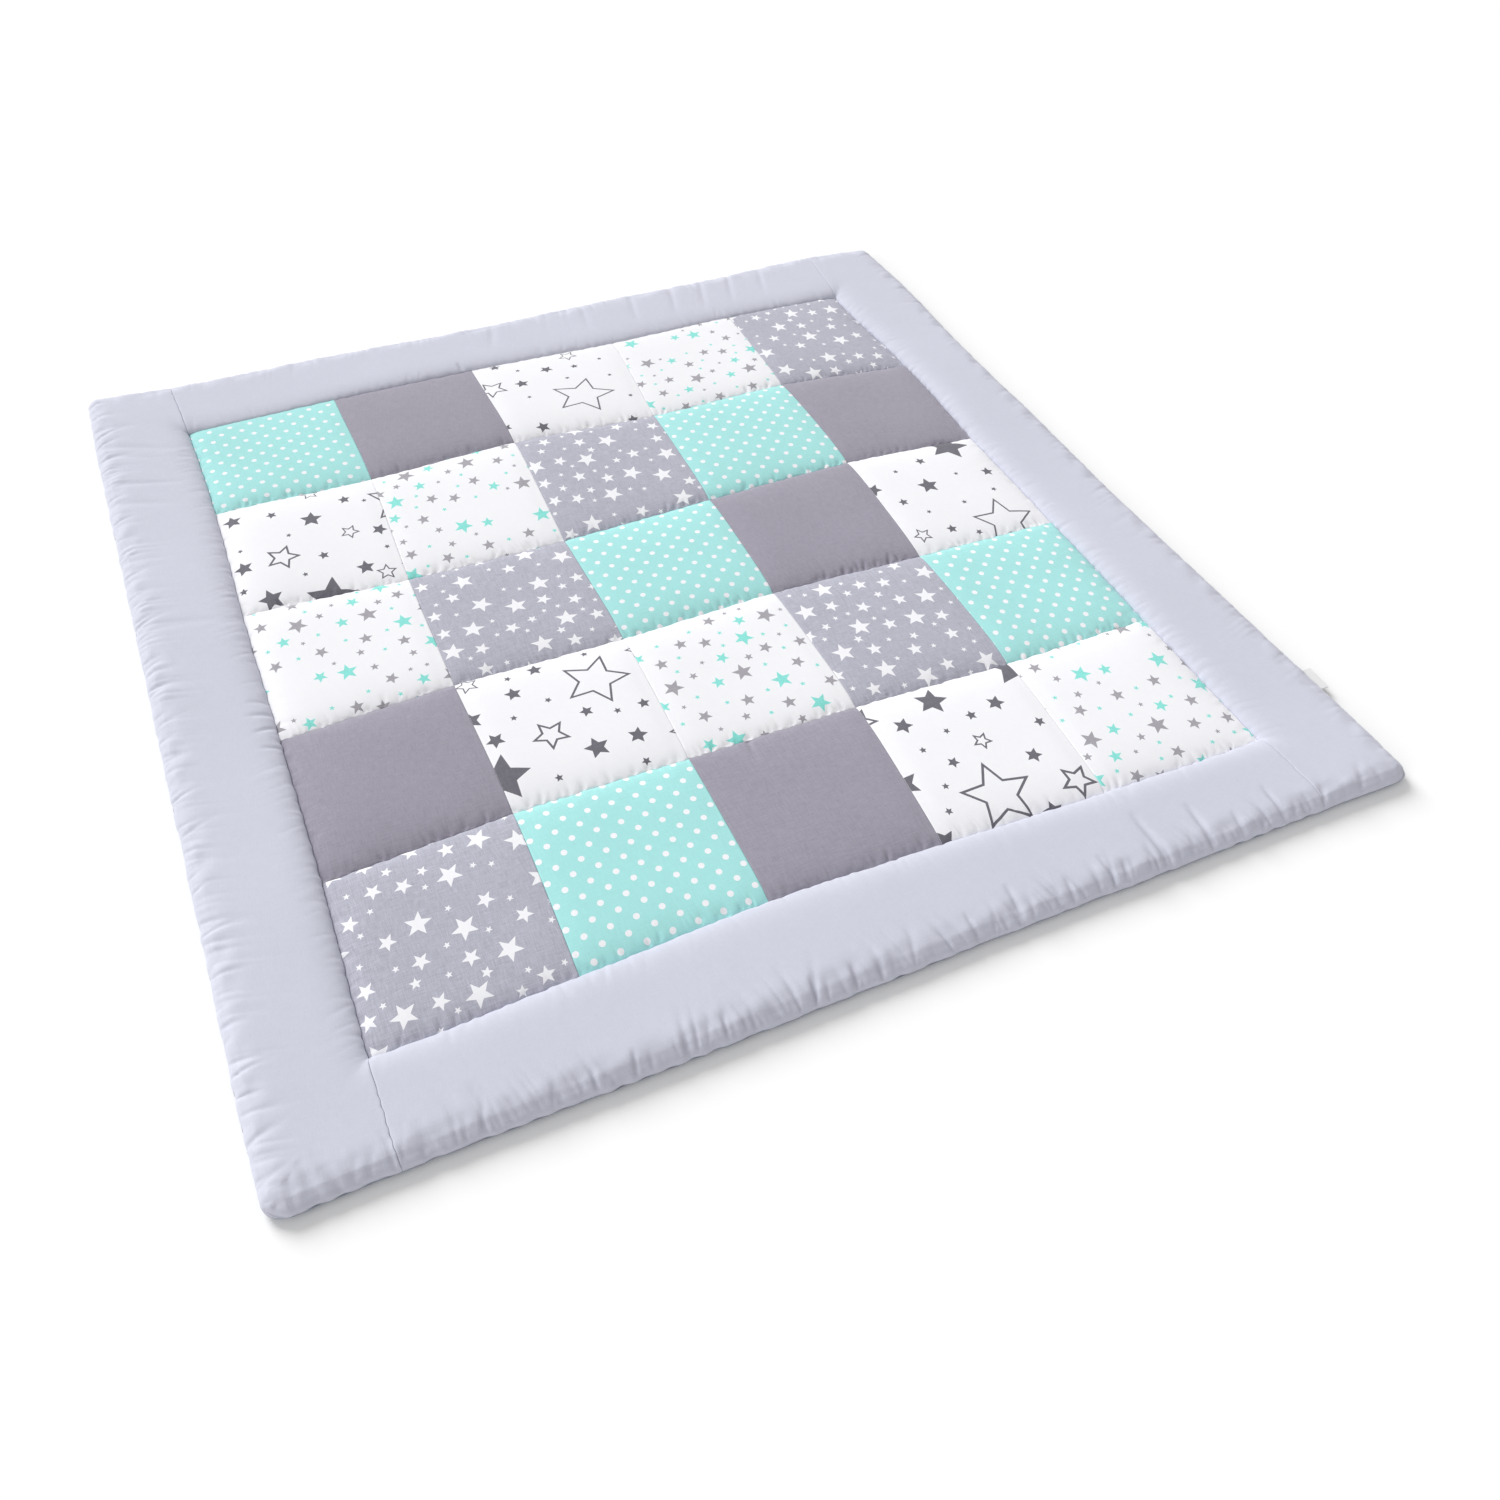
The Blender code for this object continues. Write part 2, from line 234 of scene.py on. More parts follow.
# Mesh spacing: extra lines beside a seam and beside the outer edge, and the even spacing between them
SEAM_STEPS = (0.0003, 0.0008, 0.0016, 0.0028, 0.0045, 0.0066, 0.0090)
EDGE_STEPS = (0.00015, 0.0005, 0.0011, 0.0020, 0.0032, 0.0048, 0.0068, 0.0090, 0.0110)
PATCH_PITCH = 0.0027
STRIP_PITCH = 0.0030
DENSE_PITCH = 0.0016
DENSE_REACH = 0.016
BACKING_PITCH = 0.012
MOTIF_PITCH = 2.5
MOTIF_CLEARANCE = 0.9
SAME_POINT = 1e-5
ON_SIDE = 1e-4
SHARP_DEGREES = 60

# The folded label
LABEL_MIDDLE_Y = -0.4445
LABEL_WIDTH = 0.031
LABEL_REACH = 0.0135
LABEL_HEIGHT = 0.0079
LABEL_BEND = 0.0004
LABEL_THICKNESS = 0.00038
LABEL_CURL = 0.0004

# The patches: M mint with dots, D plain grey, B large stars, S small stars, G white stars on grey
LAYOUT = (
    "MDBSG",
    "BSGMD",
    "SGMDB",
    "DBSGM",
    "GMDBS",
)

# Five-pointed stars: the notch's radius as a share of the tip's
LARGE_NOTCH = 0.48
LINE_SHARE = 1.45
SMALL_NOTCH = 0.43

# Large stars: for each patch (row, column), in mm from its middle: (to the right, to the back, radius, turn,
# line width, or 0 for a solid star)
LARGE_STARS = {
    (1, 3): (
        (20, -26, 44, 70, 1.5), (-87, 30, 22, 40, 1.4), (29, 84, 13, 50, 0.9), (-7, 57, 9, 50, 0),
        (-47, 30, 10, 20, 0), (-52, -82, 10, 30, 0), (29, 52, 5.5, 18, 0), (68, -96, 8, 18, 0),
        (-98, -68, 8, 40, 0), (-67, 90, 8, 10, 0), (-42, 68, 3.5, 0, 0), (-48, -9, 3.5, 30, 0),
        (12, 24, 3.5, 50, 0), (66, 60, 3.5, 10, 0), (67, 13, 3.5, 20, 0), (80, -46, 3.8, 60, 0),
    ),
    (2, 1): (
        (-36, -22, 22, 66, 1.7), (49, 0, 12.7, 59, 1.1), (76, -79, 13, 12, 1.1), (122, 42, 44, 6, 1.6),
        (17, 92, 13, 20, 1.0), (108, -72, 13, 30, 1.0), (7, -101, 32, 8, 0), (-81, 67, 12, 25, 0),
        (9, 37, 14, 10, 0), (-82, -25, 12, 30, 0), (54, -65, 11.5, 18, 0), (-61, -85, 15.5, 30, 0),
        (84, -6, 10, 60, 0), (-35, 61, 7, 40, 0), (55, 62, 8, 20, 0), (11, -32, 7, 30, 0),
        (-89, -62, 5.5, 10, 0), (-81, 7, 3.4, 50, 0), (-22, 15, 3.6, 0, 0), (-16, -58, 3.8, 30, 0),
        (78, 52, 3.6, 20, 0), (86, -38, 3.8, 40, 0),
    ),
    (3, 5): (
        (39, -78, 43.5, 9, 1.6), (-77, -69, 13, 33, 1.1), (50, 85, 31, 63, 0), (-22, 14, 15, 14, 0),
        (-95, 29, 12, 50, 0), (-70, -6, 7, 20, 0), (-36, -70, 7.5, 10, 0), (-5, 64, 7.5, 30, 0),
        (71, 17, 9, 5, 0), (-5, -85, 4.8, 40, 0), (-49, 53, 4, 0, 0), (27, 25, 3.6, 20, 0),
        (58, -19, 4.2, 50, 0), (6, -30, 4, 10, 0), (-48, -33, 3.6, 40, 0), (-44, -101, 6, 20, 0),
    ),
    (4, 2): (
        (44, 42, 40, 63, 1.7), (-27, -18, 22, 42, 1.7), (-85, 88, 14, 30, 1.0), (103, 72, 14, 25, 1.1),
        (106, -60, 16, 31, 1.2), (-93, -54, 31.5, 2, 0), (12, -52, 14.7, 24, 0), (58, -51, 11.3, 70, 0),
        (-83, -4, 11, 40, 0), (-44, 54, 10, 20, 0), (-11, 83, 9, 10, 0), (-98, 34, 14, 20, 0),
        (19, 0, 8, 30, 0), (80, -11, 7.5, 15, 0), (-13, 31, 4.2, 50, 0), (-55, 19, 4.2, 0, 0),
        (50, -11, 4.6, 30, 0), (-42, 80, 4.2, 60, 0), (-39, -75, 5, 20, 0), (54, -86, 5.5, 40, 0),
        (-79, -101, 5, 10, 0), (47, 87, 4.4, 20, 0),
    ),
    (5, 4): (
        (-12, -64, 43, 15, 2.0), (76, -75, 22, 48, 2.0), (6, 4, 12.3, 51, 1.3), (-106, 73, 22, 54, 1.8),
        (-18, 72, 19.5, 69, 0), (100, 90, 34, 3, 0), (48, 46, 11, 60, 0), (-65, 50, 11.5, 60, 0),
        (49, -31, 10, 60, 0), (13, 39, 7, 20, 0), (80, 7, 7, 30, 0), (-38, -12, 7.4, 50, 0),
        (-61, 13, 4.4, 10, 0), (-24, 28, 4.2, 40, 0), (-61, -37, 4.4, 0, 0), (-73, -66, 4.8, 30, 0),
        (34, -99, 12, 20, 0), (-92, -96, 14, 40, 0), (-101, -20, 19, 28, 0),
    ),
}

# The two small-star prints, charted on one repeat in mm: (to the right, to the back, size, turn, ink)
SMALL_SIZES = {"L": 11.6, "M": 8.0, "S": 5.2, "D": 3.2}
REPEAT = 200
MIXED_SHARE = 1.07
WHITE_SHARE = 1.17
MIXED_STARS = (
    (3, 79, "M", 60, 2), (36, 65, "M", 30, 1), (68, 61, "L", 50, 2), (89, 64, "D", 10, 2),
    (-26, 71, "D", 0, 1), (6, 55, "D", 30, 1), (28, 37, "L", 50, 1), (51, 34, "D", 0, 1),
    (68, 27, "D", 40, 2), (82, 37, "D", 20, 1), (-43, 56, "M", 18, 2), (-16, 47, "M", 15, 2),
    (-69, 64, "D", 0, 1), (1, 35, "D", 50, 1), (44, 14, "M", 55, 2), (63, 6, "D", 10, 1),
    (85, 9, "M", 20, 2), (-8, 18, "M", 50, 1), (20, 8, "S", 30, 2), (-53, 37, "D", 40, 1),
    (-32, 20, "D", 60, 2), (-75, 35, "M", 18, 2), (67, -19, "M", 50, 2), (85, -31, "D", 20, 1),
    (32, -9, "D", 0, 1), (4, -10, "L", 18, 2), (-63, 18, "D", 30, 1), (-49, 5, "S", 40, 2),
    (39, -36, "L", 20, 1), (88, -56, "M", 45, 2), (57, -50, "D", 10, 1), (-27, -14, "M", 20, 1),
    (-76, -3, "L", 55, 2), (18, -44, "D", 0, 1), (-57, -25, "D", 30, 1), (-8, -49, "M", 15, 2),
    (32, -68, "M", 10, 2), (63, -80, "L", 50, 1), (-30, -44, "D", 20, 1), (-76, -33, "D", 50, 2),
    (8, -74, "D", 40, 1), (-19, -69, "S", 20, 2), (36, -92, "S", 30, 2), (-60, -53, "M", 50, 2),
    (-86, -54, "D", 10, 1), (-51, -75, "D", 0, 2), (-70, -89, "M", 45, 1), (-40, -93, "L", 20, 1),
    (-10, -97, "S", 10, 2), (-96, 54, "M", 30, 1), (-96, -24, "M", 20, 1), (26, 84, "D", 10, 2),
    (45, 84, "D", 30, 2),
)
WHITE_STARS = (
    (-43, 77, "L", 10, 1), (-84, 82, "D", 0, 1), (-67, 76, "D", 20, 1), (-18, 80, "D", 30, 1),
    (1, 70, "M", 15, 1), (-20, 61, "S", 20, 1), (29, 64, "M", 10, 1), (53, 58, "D", 40, 1),
    (36, 84, "D", 0, 1), (57, 89, "M", 30, 1), (84, 65, "L", 55, 1), (12, 47, "S", 30, 1),
    (31, 31, "M", 20, 1), (63, 26, "L", 0, 1), (87, 32, "D", 10, 1), (85, 7, "D", 20, 1),
    (-48, 47, "M", 55, 1), (-15, 33, "M", 60, 1), (-80, 48, "L", 20, 1), (6, 23, "D", 0, 1),
    (-37, 29, "D", 50, 1), (-54, 27, "D", 30, 1), (-13, 12, "D", 10, 1), (32, -2, "L", 0, 1),
    (63, -9, "M", 60, 1), (-1, -2, "M", 20, 1), (-35, 5, "L", 5, 1), (-71, 18, "S", 40, 1),
    (47, -19, "D", 0, 1), (82, -38, "D", 20, 1), (15, -28, "S", 50, 1), (58, -39, "M", 10, 1),
    (-47, -12, "S", 30, 1), (-15, -24, "D", 60, 1), (-82, 1, "D", 20, 1), (28, -49, "D", 0, 1),
    (76, -58, "D", 40, 1), (-38, -32, "M", 5, 1), (5, -47, "M", 10, 1), (-73, -25, "L", 15, 1),
    (58, -65, "D", 30, 1), (-21, -53, "D", 0, 1), (-61, -52, "D", 10, 1), (-41, -63, "L", 5, 1),
    (29, -78, "M", 20, 1), (76, -86, "L", 30, 1), (-96, -53, "M", 20, 1), (-2, -85, "L", 40, 1),
    (-32, -89, "D", 20, 1), (-89, -75, "D", 0, 1), (-67, -83, "M", 15, 1), (-96, 12, "M", 50, 1),
    (50, -95, "D", 10, 1),
)

# How each small-star patch was cut from its cloth: (to the right, to the back, quarter turns)
CUTS = {
    (4, 3): (0, 0, 0),
    (1, 4): (64, -38, 0),
    (2, 2): (-52, 71, 2),
    (3, 1): (33, 57, 0),
    (5, 5): (-71, -44, 2),
    (4, 4): (0, 0, 0),
    (1, 5): (38, 66, 0),
    (2, 3): (-57, 31, 2),
    (3, 2): (84, -49, 0),
    (5, 1): (-26, -73, 2),
}

# The dots: radius, sides, half the spacing along a row, and one dot's place on each dotted patch, in mm
DOT_RADIUS = 3.4
DOT_SIDES = 14
DOT_HALF_STEP = 13.2
DOT_PLACES = {
    (1, 1): (-72, -46),
    (2, 4): (-51, 50),
    (3, 3): (-11, -30),
    (4, 5): (-60, 25),
    (5, 2): (-80, -90),
}

# Colours, linear
WHITE = (0.905, 0.905, 0.935)
MINT = (0.392, 0.770, 0.755)
MINT_INK = (0.260, 0.770, 0.700)
GREY = (0.330, 0.310, 0.375)
STAR_GREY = (0.455, 0.455, 0.535)
CHARCOAL = (0.154, 0.148, 0.175)
GREY_INK = (0.380, 0.365, 0.400)
BORDER_GREY = (0.610, 0.620, 0.715)
# The backing's own blue-grey, darkened further as painted shade for the band under the border's lip along the
# edge seam
BACKING_GREY_AND_SHADE = (0.310, 0.340, 0.410)
LABEL_WHITE = (0.800, 0.800, 0.805)

# The cloth's relief and its texture's scales: the weave's height, its threads, its blotches and its ridges
FINE_WEAVE = 0.00012
BORDER_WEAVE = 0.00013
COARSE_WEAVE = 0.00014
TAPE_WEAVE = 0.00008
ALONG_THREADS = (90, 1500, 90)
ACROSS_THREADS = (1500, 90, 90)
BLOTCH_SCALE = 14
RIDGE_SCALE = 500

# The floor
FLOOR_HALF = 8
FLOOR_HEIGHT = -0.0002
FLOOR_WHITE = 0.97

# The sky's strength, and the two soft suns: (name, energy, spread in degrees, direction towards it)
SKY_STRENGTH = 0.450
SUNS = (
    ("window_light", 2.92, 32, (-0.30, 0.95, 0.62)),
    ("fill_light", 0.80, 40, (-1.0, -0.25, 0.50)),
)

# The photograph's camera: eye, azimuth, elevation and roll, and its lens on a square 1500 pixel picture
EYE = (-0.4474, -1.0441, 1.0051)
AZIMUTH = -25.69
ELEVATION = 49.48
ROLL = 2.75
PICTURE = 1500
FOCAL_PIXELS = 1233.9
PICTURE_MIDDLE = (702.0, 747.7)
SENSOR = 36


def spline_weights(place):
    """For each place, the weights of the eight sewn lines' values in a smooth curve through them."""
    lines = np.array(SEAM_LINES)
    unit = np.eye(len(lines))
    slope = np.gradient(unit, lines, axis=0)
    place = np.clip(place, lines[0], lines[-1])
    k = np.clip(np.searchsorted(lines, place) - 1, 0, len(lines) - 2)
    span = (lines[k + 1] - lines[k])[:, None]
    t = (place - lines[k])[:, None] / span
    from_low = (1 + 2 * t) * (1 - t) ** 2 * unit[k] + t * (1 - t) ** 2 * span * slope[k]
    from_high = t * t * (3 - 2 * t) * unit[k + 1] + t * t * (t - 1) * span * slope[k + 1]
    return from_low + from_high


def wandered(x, y):
    """Moves points of the even plan to where the sewn lines really run."""
    across = spline_weights(x)
    down = spline_weights(-y)
    right = np.einsum("ni,ij,nj->n", down, np.array(WANDER_RIGHT), across) / 1000
    back = np.einsum("ni,ij,nj->n", down, np.array(WANDER_BACK), across) / 1000
    return x + right, y + back


def rounded(x, y):
    """Bends the square's four corners into arcs."""
    x, y = x.copy(), y.copy()
    for right, back, radius in CORNERS:
        u = (right * x - SIDE_HALF + radius) / radius
        v = (back * y - SIDE_HALF + radius) / radius
        inside = (u > 0) & (v > 0)
        u, v = u[inside], v[inside]
        x[inside] = right * (SIDE_HALF - radius + radius * u * np.sqrt(1 - v * v / 2))
        y[inside] = back * (SIDE_HALF - radius + radius * v * np.sqrt(1 - u * u / 2))
    return x, y


def edge_distance(x, y):
    """How far a point lies in from the rounded outline."""
    distance = SIDE_HALF - np.maximum(np.abs(x), np.abs(y))
    for right, back, radius in CORNERS:
        u = (right * x - SIDE_HALF + radius) / radius
        v = (back * y - SIDE_HALF + radius) / radius
        inside = (u > 0) & (v > 0)
        reach = np.sqrt(np.clip(u * u + v * v - u * u * v * v, 0, 1))
        distance = np.where(inside, radius * (1 - reach), distance)
    return distance


def uneven(seed, place, pitch):
    """Uneven values from -1 to 1 along a seam: seeded heights at a pitch, joined by smooth steps."""
    count = int(2 * SIDE_HALF / pitch) + 3
    values = np.random.default_rng(seed).uniform(-1, 1, count)
    t = (place + SIDE_HALF) / pitch
    k = np.clip(np.floor(t).astype(int), 0, count - 2)
    u = np.clip(t - k, 0, 1)
    u = u * u * (3 - 2 * u)
    return values[k] * (1 - u) + values[k + 1] * u


def pleats(seed, along, distance, size):
    """Narrow valleys that run out from a seam, uneven in place, depth, length and lean."""
    deep, length, spacing = size
    random = np.random.default_rng(seed)
    depth = np.zeros_like(along)
    close = np.flatnonzero(distance < 2.5 * length)
    along, distance = along[close], distance[close]
    place = -SIDE_HALF
    while place < SIDE_HALF:
        place += spacing * random.uniform(0.3, 1.7)
        reach = length * random.uniform(0.4, 1.3)
        half_width = PLEAT_HALF_WIDTH * random.uniform(0.7, 1.4)
        lean = random.uniform(-0.4, 0.4)
        share = random.uniform(0.3, 1) ** 1.5
        near = np.flatnonzero(np.abs(along - place) < PLEAT_SPAN)
        away = (along[near] - place - lean * distance[near]) / (half_width * (1 + distance[near] / reach))
        profile = np.clip(distance[near] / PLEAT_START, 0, 1) * np.exp(-((distance[near] / reach) ** 2))
        depth[close[near]] += deep * share * np.exp(-(away**2)) * profile
    return depth


def puckers(seed, along, distance, size):
    """Short uneven folds that run out from a seam, in loose groups, with narrow valleys."""
    height, reach, pitch = size
    groups = np.clip(0.5 + 0.9 * uneven(seed + 1, along, 8 * pitch), 0.1, 1)
    reach = reach * (1 + 0.4 * uneven(seed + 2, along, 2 * pitch))
    shape = distance / reach * np.exp(1 - distance / reach)
    ridge = np.sqrt(np.abs(uneven(seed, along + 0.25 * distance, pitch))) - 0.75
    return height * ridge * groups * shape


def wobbled(x, y):
    """Steps the sewn lines slightly from side to side."""
    inside_x = np.clip((FIELD_HALF - np.abs(x)) / WOBBLE_REACH, 0, 1)
    right, back = np.zeros_like(x), np.zeros_like(y)
    for k in range(PATCHES + 1):
        line = k * PATCH - FIELD_HALF
        near = np.exp(-np.abs(y - line) / WOBBLE_REACH)
        back += WOBBLE * inside_x * near * uneven(ROW_WOBBLE_SEED + k, x, WOBBLE_PITCH)
    for side in (-1, 1):
        near = np.exp(-np.abs(x - side * FIELD_HALF) / WOBBLE_REACH)
        right += SIDE_WOBBLE_SHARE * WOBBLE * near * uneven(SIDE_WOBBLE_SEED + side, y, WOBBLE_PITCH)
        near = np.exp(-np.abs(x - side * SIDE_HALF) / WOBBLE_REACH)
        right += EDGE_WOBBLE * near * uneven(EDGE_X_WOBBLE_SEED + side, y, EDGE_WOBBLE_PITCH)
        near = np.exp(-np.abs(y - side * SIDE_HALF) / WOBBLE_REACH)
        back += EDGE_WOBBLE * near * uneven(EDGE_Y_WOBBLE_SEED + side, x, EDGE_WOBBLE_PITCH)
    return x + right, y + back


def placed(x, y, z, share=1.0):
    """Points of the even plan, as they lie on the real mat, or moved only by this share of the wander."""
    x, y = rounded(x, y)
    seen_x, seen_y = wandered(*wobbled(x, y))
    return np.stack([x + share * (seen_x - x), y + share * (seen_y - y), z], axis=1)


def loft(distance, reach, power=LOFT_POWER):
    """How far up to its crest filled cloth is at this distance from the seam that holds it down."""
    t = np.clip(distance / reach, 0, 1)
    return np.sqrt(1 - (1 - t) ** power)


def fold(distance):
    """The small round fall of cloth that is folded under at a seam: 1 in the seam, 0 on the open cloth."""
    t = np.clip(distance / FOLD_RADIUS, 0, 1)
    return 1 - np.sqrt(1 - (1 - t) ** 2)


def back_seam_rise(x, y):
    """The back border's seam is drawn down less deep than the others, but for its two ends."""
    along = loft(np.clip(FIELD_HALF - np.abs(x), 0, None), SIDE_LOFT)
    away = np.clip(1 - np.abs(y - FIELD_HALF) / BACK_SEAM_REACH, 0, 1)
    return BACK_SEAM_RISE * along * away


def waves(x, y, table):
    return sum(height / 1000 * np.sin(right * x + back * y + phase) for height, right, back, phase in table)


def crease_depth(x, y, table=CREASES):
    depth = np.zeros_like(x)
    for from_x, from_y, to_x, to_y, half_width, deep in table:
        start = np.array([from_x, from_y]) / 1000
        run = np.array([to_x, to_y]) / 1000 - start
        t = ((x - start[0]) * run[0] + (y - start[1]) * run[1]) / (run @ run)
        t = np.clip(t, 0, 1)
        away = np.hypot(x - start[0] - t * run[0], y - start[1] - t * run[1])
        depth += deep / 1000 * (1 - t) ** 0.7 * np.exp(-((away * 1000 / half_width) ** 2))
    return depth


def field_top(x, y):
    """Five puffed rows between puckered ditches, creased by the column seams."""
    row_place = (y + FIELD_HALF) / PATCH
    row_line = np.round(row_place)
    to_row_seam = np.abs(row_place - row_line) * PATCH
    to_side_seam = FIELD_HALF - np.abs(x)
    to_border_seam = FIELD_HALF - np.abs(y)
    column = np.clip(np.round((x + FIELD_HALF) / PATCH), 1, PATCHES - 1)
    to_column_seam = np.abs(x + FIELD_HALF - column * PATCH)
    ditch = SEAM_DITCH + ROW_DITCH_RISE * loft(np.minimum(to_side_seam, to_border_seam), SIDE_LOFT)
    ditch += back_seam_rise(x, y)
    crease = 1 - COLUMN_CREASE * np.exp(-((to_column_seam / COLUMN_CREASE_WIDTH) ** 2))
    rise = loft(to_row_seam, ROW_LOFT) * loft(to_side_seam, SIDE_LOFT) * crease
    crest = FIELD_CREST + waves(x, y, UNEVENNESS)
    top = ditch + (crest - ditch) * rise - crease_depth(x, y) * rise
    top -= FOLD_DEPTH * fold(to_column_seam) * (0.3 + 0.7 * rise)
    for k in range(PATCHES + 1):
        for way in (-1, 1):
            beside = (row_line == k) & ((row_place - k) * way >= 0)
            if not beside.any():
                continue
            seed = ROW_FOLD_SEED + 10 * k + 5 * (way > 0)
            soft, narrow = (UNDER_PUCKER, UNDER_PLEATS) if way < 0 else (ROW_PUCKER, ROW_PLEATS)
            folds = puckers(seed, x, to_row_seam, soft) - pleats(seed, x, to_row_seam, narrow)
            top += np.where(beside, folds, 0)
    top -= crease_depth(x, y, PLEATS) * np.clip(to_row_seam / PLEAT_START, 0, 1)
    for side in (-1, 1):
        inside = np.clip(FIELD_HALF - side * x, 0, None)
        seed = SIDE_FOLD_SEED + 10 * side
        folds = puckers(seed, y, inside, SIDE_PUCKER) - pleats(seed, y, inside, SIDE_PLEATS)
        top += folds * loft(to_row_seam, ROW_LOFT)
    return top


def border_top(x, y):
    """A puffed strip that rises from the border seam and rolls over to the edge seam."""
    past_x = np.maximum(np.abs(x) - FIELD_HALF, 0)
    past_y = np.maximum(np.abs(y) - FIELD_HALF, 0)
    from_field = (past_x**CORNER_POWER + past_y**CORNER_POWER) ** (1 / CORNER_POWER)
    near_x = np.clip(1 - (SIDE_HALF - np.abs(x)) / EDGE_ROLL, 0, 1)
    near_y = np.clip(1 - (SIDE_HALF - np.abs(y)) / EDGE_ROLL, 0, 1)
    near = np.minimum((near_x**CORNER_POWER + near_y**CORNER_POWER) ** (1 / CORNER_POWER), 1)
    rise = loft(from_field, BORDER_LOFT, BORDER_LOFT_POWER) * np.sqrt(1 - near * near)
    to_edge = edge_distance(x, y)
    gathers = np.exp(-(((to_edge - GATHERS_MIDDLE) / GATHERS_WIDTH) ** 2)) * waves(x, y, GATHERS)
    crest = BORDER_CREST + waves(x, y, UNEVENNESS) + gathers
    lip = RIM_HEIGHT + GAP + RIM_CLEARANCE + EDGE_LIP
    low = np.where(to_edge < RIM_WIDTH, lip, SEAM_DITCH + back_seam_rise(x, y))
    top = low + (crest - low) * rise - crease_depth(x, y) * rise
    corner = (np.abs(y) > FIELD_HALF) * loft(past_y, CORNER_FOLD_REACH)
    top -= FOLD_DEPTH * fold(np.abs(np.abs(x) - FIELD_HALF)) * corner * rise
    for side in (-1, 1):
        seed = BORDER_FOLD_SEED + 40 * side
        along_front = side * y > np.abs(x)
        along_side = side * x > np.abs(y)
        edge_y, edge_x = SIDE_HALF - side * y, SIDE_HALF - side * x
        seams = (
            (along_front, x, past_y, edge_y, EDGE_FOLDS_Y[side], 0),
            (along_side, y, past_x, edge_x, EDGE_FOLDS_X[side], 10),
        )
        for share, along, inner, outer, strength, first in seams:
            folds = puckers(seed + first, along, inner, BORDER_PUCKER)
            folds += strength * puckers(seed + first + 20, along, outer, EDGE_PUCKER)
            folds -= pleats(seed + first, along, np.where(share, inner, 1), BORDER_PLEATS)
            folds -= strength * pleats(seed + first + 20, along, np.where(share, outer, 1), EDGE_PLEATS)
            top += np.where(share, folds, 0) * rise
    top -= crease_depth(x, y, PLEATS) * rise
    return np.maximum(top, border_bottom(x, y) + EDGE_LIP)


def rim_rise(x, y):
    """How far the backing's rim is turned up, from 0 on the flat to 1 at the edge."""
    t = np.clip(edge_distance(x, y) / RIM_WIDTH, 0, 1)
    return 1 - np.sqrt(1 - (1 - t) ** 2)


def border_bottom(x, y):
    rise = rim_rise(x, y)
    return FILL_BOTTOM + (RIM_HEIGHT - BACKING_THICKNESS) * rise + RIM_CLEARANCE * np.sqrt(rise)


def backing_top(x, y):
    return BACKING_THICKNESS + (RIM_HEIGHT - BACKING_THICKNESS) * rim_rise(x, y)


def backing_bottom(x, y):
    lift = EDGE_LIFT * np.clip(1 - edge_distance(x, y) / REST_INSET, 0, 1)
    return (RIM_HEIGHT - BACKING_THICKNESS) * rim_rise(x, y) + lift


def outside_the_rest(x, y):
    """0 on the square that the mat rests on and 1 from the rim out."""
    return np.clip((REST_INSET - edge_distance(x, y)) / (REST_INSET - RIM_WIDTH), 0, 1)


def lines_between(start, end, start_steps, end_steps, pitch):
    """Lines from start to end: the extra ones beside each end and even ones between those."""
    low = [start] + [start + step for step in start_steps]
    high = [end - step for step in reversed(end_steps)] + [end]
    count = max(int(round((high[0] - low[-1]) / pitch)), 1)
    return np.concatenate([low, np.linspace(low[-1], high[0], count + 1)[1:-1], high])


def pulled_in(lines):
    """Draws a piece's sewn sides in by half the gap, where it meets its neighbours."""
    lines = lines.copy()
    for end, way in ((0, 1), (-1, -1)):
        if abs(lines[end]) < SIDE_HALF:
            lines[end] += way * GAP / 2
    return lines


def made_object(name, points, faces, materials, slots=None):
    """A smooth-shaded object whose walls keep their sharp edges."""
    mesh = bpy.data.meshes.new(name)
    mesh.from_pydata(points, [], faces)
    for material in materials:
        mesh.materials.append(material)
    if slots is not None:
        mesh.polygons.foreach_set("material_index", slots)
    mesh.shade_smooth()
    mesh.set_sharp_from_angle(angle=math.radians(SHARP_DEGREES))
    piece = bpy.data.objects.new(name, mesh)
    bpy.context.scene.collection.objects.link(piece)
    return piece


def body_faces(rows, columns):
    """The faces of a closed body between an upper and a lower grid of points, with its walls."""
    count = rows * columns
    index = np.arange(count).reshape(rows, columns)
    cells = [index[:-1, :-1], index[:-1, 1:], index[1:, 1:], index[1:, :-1]]
    cells = np.stack([c.ravel() for c in cells], axis=1)
    loop = np.concatenate([index[0, :-1], index[:-1, -1], index[-1, :0:-1], index[:0:-1, 0]])
    ahead = np.roll(loop, -1)
    wall = np.stack([loop + count, ahead + count, ahead, loop], axis=1)
    return cells.tolist() + (cells[:, ::-1] + count).tolist() + wall.tolist()


def grid_body(name, x_lines, y_lines, top, bottom, material, bottom_share=None):
    """A closed body between a top and a bottom surface over a grid of lines."""
    x, y = (a.ravel() for a in np.meshgrid(x_lines, y_lines))
    share = 1.0 if bottom_share is None else bottom_share(x, y)
    points = np.concatenate([placed(x, y, top(x, y)), placed(x, y, bottom(x, y), share)])
    return made_object(name, points.tolist(), body_faces(len(y_lines), len(x_lines)), [material])


def star(x, y, radius, turn, notch):
    """The ten points of a five-pointed star, in mm."""
    points = []
    for k in range(10):
        reach = radius * (notch if k % 2 else 1)
        angle = math.radians(turn + 36 * k)
        points.append((x + reach * math.cos(angle), y + reach * math.sin(angle)))
    return points


